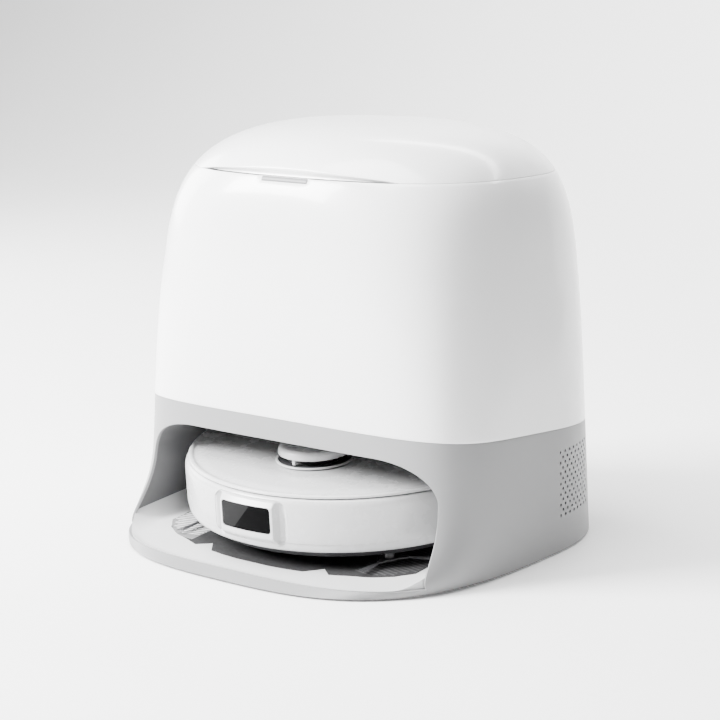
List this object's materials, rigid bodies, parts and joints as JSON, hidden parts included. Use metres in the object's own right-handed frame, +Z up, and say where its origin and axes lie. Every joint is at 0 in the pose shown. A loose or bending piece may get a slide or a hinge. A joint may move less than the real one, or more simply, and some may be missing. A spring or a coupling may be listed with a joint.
{
  "type": "robot vacuum with washing dock",
  "caption": "Round robot vacuum parked on the ramp of a domed self-washing dock with a hinged lid, tanks, sprung bumper, brushes and spinning mops.",
  "frame": {"origin": "centre of the footprint on the floor", "axes": "+Z up, +X to the right seen from the front, -Y the front, where the robot drives out"},
  "size_m": [0.4098, 0.4302, 0.411],
  "materials": {
    "gloss_white": "glossy white shell",
    "pale_grey": "satin light grey housing",
    "robot_white": "glossy white robot body",
    "bay_grey": "matte grey bay",
    "tray_grey": "matte grey ramp",
    "dark_plastic": "dark grained plastic",
    "black_glass": "black glossy window",
    "rubber": "black rubber",
    "tank_plastic": "clear-tinted tank plastic",
    "board_green": "circuit board",
    "steel": "steel",
    "contact_metal": "plated contacts",
    "fibre": "mop and brush fibre"
  },
  "bodies": {
    "dock": {"base_shell": "pale_grey", "bottom_plate": "dark_plastic", "foot_front_left": "rubber", "foot_front_right": "rubber", "foot_rear_left": "rubber", "foot_rear_right": "rubber", "wash_tray": "tray_grey", "ramp_mat_left": "rubber", "ramp_mat_right": "rubber", "bay_housing": "bay_grey", "tank_deck": "bay_grey", "dome_shell": "gloss_white", "vent_grille_left": "pale_grey", "vent_grille_right": "pale_grey", "clean_tank": "tank_plastic", "clean_tank_cap": "dark_plastic", "dirty_tank": "tank_plastic", "dirty_tank_cap": "dark_plastic", "water_pump": "dark_plastic", "drying_blower": "dark_plastic", "dock_board": "board_green", "power_inlet": "dark_plastic", "dock_contact_left": "contact_metal", "dock_contact_right": "contact_metal", "hinge_bracket": "pale_grey", "hinge_pin": "steel"},
    "lid": {"lid_shell": "gloss_white", "lid_hinge_leaf": "pale_grey"},
    "clean_handle": {"clean_tank_handle": "dark_plastic"},
    "dirty_handle": {"dirty_tank_handle": "dark_plastic"},
    "robot": {"robot_chassis": "dark_plastic", "rear_shell": "robot_white", "top_cover": "robot_white", "lidar_base": "robot_white", "lidar_cap": "robot_white", "dust_bin": "tank_plastic", "bin_filter": "fibre", "battery_pack": "dark_plastic", "fan_motor": "steel", "robot_board": "board_green", "brush_guard": "dark_plastic"},
    "bumper_assembly": {"bumper": "robot_white", "window_frame": "robot_white", "window_glass": "black_glass"},
    "button": {"robot_button": "robot_white"},
    "lidar_head": {"lidar_rotor": "black_glass"},
    "arm_left": {"wheel_arm_left": "dark_plastic"},
    "arm_right": {"wheel_arm_right": "dark_plastic"},
    "wheel_left": {"drive_wheel_left": "rubber"},
    "wheel_right": {"drive_wheel_right": "rubber"},
    "caster_swivel": {"caster_fork": "dark_plastic"},
    "caster_roller": {"caster_wheel": "rubber"},
    "roller": {"main_brush": "rubber"},
    "edge_brush_left": {"side_brush_left": "fibre"},
    "edge_brush_right": {"side_brush_right": "fibre"},
    "mop_left": {"mop_pad_left": "fibre", "mop_disc_left": "dark_plastic"},
    "mop_right": {"mop_pad_right": "fibre", "mop_disc_right": "dark_plastic"}
  },
  "joints": [
    {"name": "lid_hinge", "type": "hinge", "parent": "dock", "child": "lid", "pos_m": [0, 0.17779, 0.3655], "axis": [-1, 0, 0], "range_deg": [0, 75]},
    {"name": "clean_handle_hinge", "type": "hinge", "parent": "dock", "child": "clean_handle", "pos_m": [0.078, 0.00229, 0.341], "axis": [-1, 0, 0], "range_deg": [0, 80]},
    {"name": "dirty_handle_hinge", "type": "hinge", "parent": "dock", "child": "dirty_handle", "pos_m": [-0.078, 0.00229, 0.341], "axis": [-1, 0, 0], "range_deg": [0, 80]},
    {"name": "robot_drive_out", "type": "slide", "parent": "dock", "child": "robot", "axis": [0, -1, 0], "range_m": [0, 0.29]},
    {"name": "bumper_press", "type": "slide", "parent": "robot", "child": "bumper_assembly", "axis": [0, 0.9966, 0.0819], "range_m": [0, 0.0028], "stiffness_N_per_m": 400, "springref_m": -0.002},
    {"name": "button_press", "type": "slide", "parent": "robot", "child": "button", "axis": [0, 0.0819, -0.9966], "range_m": [0, 0.001], "stiffness_N_per_m": 300, "springref_m": -0.001},
    {"name": "lidar_spin", "type": "hinge", "parent": "robot", "child": "lidar_head", "pos_m": [0, -0.07092, 0.09289], "axis": [0, -0.0819, 0.9966], "continuous": true},
    {"name": "arm_left_hinge", "type": "hinge", "parent": "robot", "child": "arm_left", "pos_m": [-0.1005, 0.04235, 0.05765], "axis": [-1, 0, 0], "range_deg": [0, 6], "stiffness_Nm_per_rad": 0.5, "springref_deg": -11.46},
    {"name": "wheel_left_spin", "type": "hinge", "parent": "arm_left", "child": "wheel_left", "pos_m": [-0.1145, -0.00325, 0.0509], "axis": [1, 0, 0], "continuous": true},
    {"name": "arm_right_hinge", "type": "hinge", "parent": "robot", "child": "arm_right", "pos_m": [0.1005, 0.04235, 0.05765], "axis": [-1, 0, 0], "range_deg": [0, 6], "stiffness_Nm_per_rad": 0.5, "springref_deg": -11.46},
    {"name": "wheel_right_spin", "type": "hinge", "parent": "arm_right", "child": "wheel_right", "pos_m": [0.1145, -0.00325, 0.0509], "axis": [1, 0, 0], "continuous": true},
    {"name": "caster_swivel_turn", "type": "hinge", "parent": "robot", "child": "caster_swivel", "pos_m": [0, -0.11778, 0.04048], "axis": [0, -0.0819, 0.9966], "continuous": true},
    {"name": "caster_roll", "type": "hinge", "parent": "caster_swivel", "child": "caster_roller", "pos_m": [0, -0.11133, 0.02295], "axis": [1, 0, 0], "continuous": true},
    {"name": "main_brush_spin", "type": "hinge", "parent": "robot", "child": "roller", "pos_m": [0, -0.05419, 0.03587], "axis": [1, 0, 0], "continuous": true},
    {"name": "side_brush_left_spin", "type": "hinge", "parent": "robot", "child": "edge_brush_left", "pos_m": [-0.112, -0.10075, 0.01629], "axis": [0, -0.0819, 0.9966], "continuous": true},
    {"name": "side_brush_right_spin", "type": "hinge", "parent": "robot", "child": "edge_brush_right", "pos_m": [0.112, -0.10075, 0.01629], "axis": [0, -0.0819, 0.9966], "continuous": true},
    {"name": "mop_right_spin", "type": "hinge", "parent": "robot", "child": "mop_right", "pos_m": [0.064, 0.08671, 0.0306], "axis": [0, -0.0819, 0.9966], "continuous": true},
    {"name": "mop_left_spin", "type": "hinge", "parent": "robot", "child": "mop_left", "pos_m": [-0.064, 0.08671, 0.0306], "axis": [0, -0.0819, 0.9966], "continuous": true}
  ],
  "couplings": [
    {"joint": "mop_left_spin", "follows": "mop_right_spin", "ratio": -1}
  ]
}
